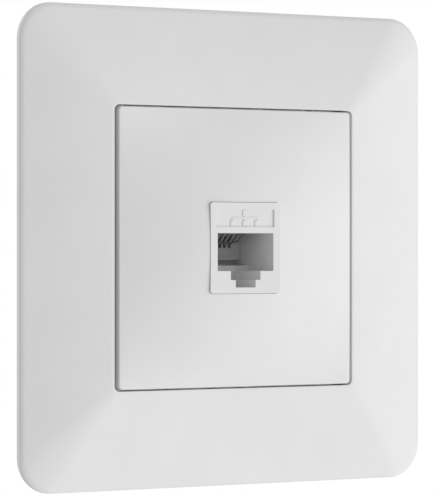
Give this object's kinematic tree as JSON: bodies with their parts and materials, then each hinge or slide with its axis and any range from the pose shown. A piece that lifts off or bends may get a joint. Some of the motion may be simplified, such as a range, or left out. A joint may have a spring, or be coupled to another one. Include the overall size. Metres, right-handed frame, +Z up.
{
  "type": "wall data outlet",
  "caption": "Flush square wall data outlet: sloping surround frame, crowned centre plate and a snap-in modular jack on a steel yoke with spreading claws.",
  "frame": {"origin": "middle of the fixing pattern on the wall plane, which is the back face of the mounting yoke and of the frame's foot", "axes": "+Z up the wall, +X to the right for someone facing the wall, and the front of the outlet faces -Y"},
  "size_m": [0.086, 0.0299, 0.086],
  "materials": {
    "frame_plastic": "satin white moulded plastic",
    "plate_plastic": "satin white moulded plastic",
    "jack_plastic": "satin white moulded plastic",
    "carrier_plastic": "matt light grey moulded plastic",
    "contact_carrier_plastic": "matt grey moulded plastic",
    "wire_block_plastic": "matt light grey moulded plastic",
    "wire_cap_plastic": "matt white moulded plastic",
    "yoke_steel": "zinc-plated pressed sheet",
    "claw_steel": "zinc-plated pressed sheet",
    "screw_steel": "zinc-plated, turned",
    "contact_gold": "gold-plated spring bronze",
    "blade_metal": "tinned phosphor bronze",
    "circuit_board": "green solder mask"
  },
  "bodies": {
    "root": {"mounting_yoke": "yoke_steel", "keystone_carrier": "carrier_plastic", "jack_housing": "jack_plastic", "contact_carrier": "contact_carrier_plastic", "contact_leads": "contact_gold", "contact_pcb": "circuit_board", "idc_block": "wire_block_plastic", "idc_blade_1": "blade_metal", "idc_blade_2": "blade_metal", "idc_blade_3": "blade_metal", "idc_blade_4": "blade_metal", "idc_blade_5": "blade_metal", "idc_blade_6": "blade_metal", "idc_blade_7": "blade_metal", "idc_blade_8": "blade_metal"},
    "frame": {"surround_frame": "frame_plastic"},
    "plate": {"centre_plate": "plate_plastic"},
    "cap": {"wire_cap": "wire_cap_plastic"},
    "claw_left_arm": {"claw_left": "claw_steel"},
    "claw_right_arm": {"claw_right": "claw_steel"},
    "screw_left": {"claw_screw_left": "screw_steel"},
    "screw_right": {"claw_screw_right": "screw_steel"},
    "latch": {"keystone_latch": "jack_plastic"},
    "contact_1_spring": {"contact_1": "contact_gold"},
    "contact_2_spring": {"contact_2": "contact_gold"},
    "contact_3_spring": {"contact_3": "contact_gold"},
    "contact_4_spring": {"contact_4": "contact_gold"},
    "contact_5_spring": {"contact_5": "contact_gold"},
    "contact_6_spring": {"contact_6": "contact_gold"},
    "contact_7_spring": {"contact_7": "contact_gold"},
    "contact_8_spring": {"contact_8": "contact_gold"}
  },
  "joints": [
    {"name": "frame_pull", "type": "slide", "parent": "root", "child": "frame", "axis": [0, -1, 0], "range_m": [0, 0.02]},
    {"name": "plate_pull", "type": "slide", "parent": "root", "child": "plate", "axis": [0, -1, 0], "range_m": [0, 0.02]},
    {"name": "cap_pull", "type": "slide", "parent": "root", "child": "cap", "axis": [0, 1, 0], "range_m": [0, 0.014]},
    {"name": "claw_left_swing", "type": "hinge", "parent": "root", "child": "claw_left_arm", "pos_m": [-0.0185, -0.0018, 0], "axis": [0, 0, 1], "range_deg": [0, 15]},
    {"name": "claw_right_swing", "type": "hinge", "parent": "root", "child": "claw_right_arm", "pos_m": [0.0185, -0.0018, 0], "axis": [0, 0, -1], "range_deg": [0, 15]},
    {"name": "claw_left_screw_turn", "type": "hinge", "parent": "claw_left_arm", "child": "screw_left", "pos_m": [-0.0185, -0.0018, 0], "axis": [0, 1, 0], "range_deg": [0, 1800]},
    {"name": "claw_right_screw_turn", "type": "hinge", "parent": "claw_right_arm", "child": "screw_right", "pos_m": [0.0185, -0.0018, 0], "axis": [0, 1, 0], "range_deg": [0, 1800]},
    {"name": "latch_press", "type": "hinge", "parent": "root", "child": "latch", "pos_m": [0, -0.0045, 0.00758], "axis": [-1, 0, 0], "range_deg": [0, 7], "stiffness_Nm_per_rad": 0.31},
    {"name": "contact_1_flex", "type": "hinge", "parent": "root", "child": "contact_1_spring", "pos_m": [-0.00357, -0.0018, 0.0033], "axis": [1, 0, 0], "range_deg": [0, 9], "stiffness_Nm_per_rad": 0.045},
    {"name": "contact_2_flex", "type": "hinge", "parent": "root", "child": "contact_2_spring", "pos_m": [-0.00255, -0.0018, 0.0033], "axis": [1, 0, 0], "range_deg": [0, 9], "stiffness_Nm_per_rad": 0.045},
    {"name": "contact_3_flex", "type": "hinge", "parent": "root", "child": "contact_3_spring", "pos_m": [-0.00153, -0.0018, 0.0033], "axis": [1, 0, 0], "range_deg": [0, 9], "stiffness_Nm_per_rad": 0.045},
    {"name": "contact_4_flex", "type": "hinge", "parent": "root", "child": "contact_4_spring", "pos_m": [-0.00051, -0.0018, 0.0033], "axis": [1, 0, 0], "range_deg": [0, 9], "stiffness_Nm_per_rad": 0.045},
    {"name": "contact_5_flex", "type": "hinge", "parent": "root", "child": "contact_5_spring", "pos_m": [0.00051, -0.0018, 0.0033], "axis": [1, 0, 0], "range_deg": [0, 9], "stiffness_Nm_per_rad": 0.045},
    {"name": "contact_6_flex", "type": "hinge", "parent": "root", "child": "contact_6_spring", "pos_m": [0.00153, -0.0018, 0.0033], "axis": [1, 0, 0], "range_deg": [0, 9], "stiffness_Nm_per_rad": 0.045},
    {"name": "contact_7_flex", "type": "hinge", "parent": "root", "child": "contact_7_spring", "pos_m": [0.00255, -0.0018, 0.0033], "axis": [1, 0, 0], "range_deg": [0, 9], "stiffness_Nm_per_rad": 0.045},
    {"name": "contact_8_flex", "type": "hinge", "parent": "root", "child": "contact_8_spring", "pos_m": [0.00357, -0.0018, 0.0033], "axis": [1, 0, 0], "range_deg": [0, 9], "stiffness_Nm_per_rad": 0.045}
  ],
  "couplings": [
    {"joint": "claw_left_screw_turn", "follows": "claw_left_swing", "ratio": 120},
    {"joint": "claw_right_screw_turn", "follows": "claw_right_swing", "ratio": 120}
  ]
}
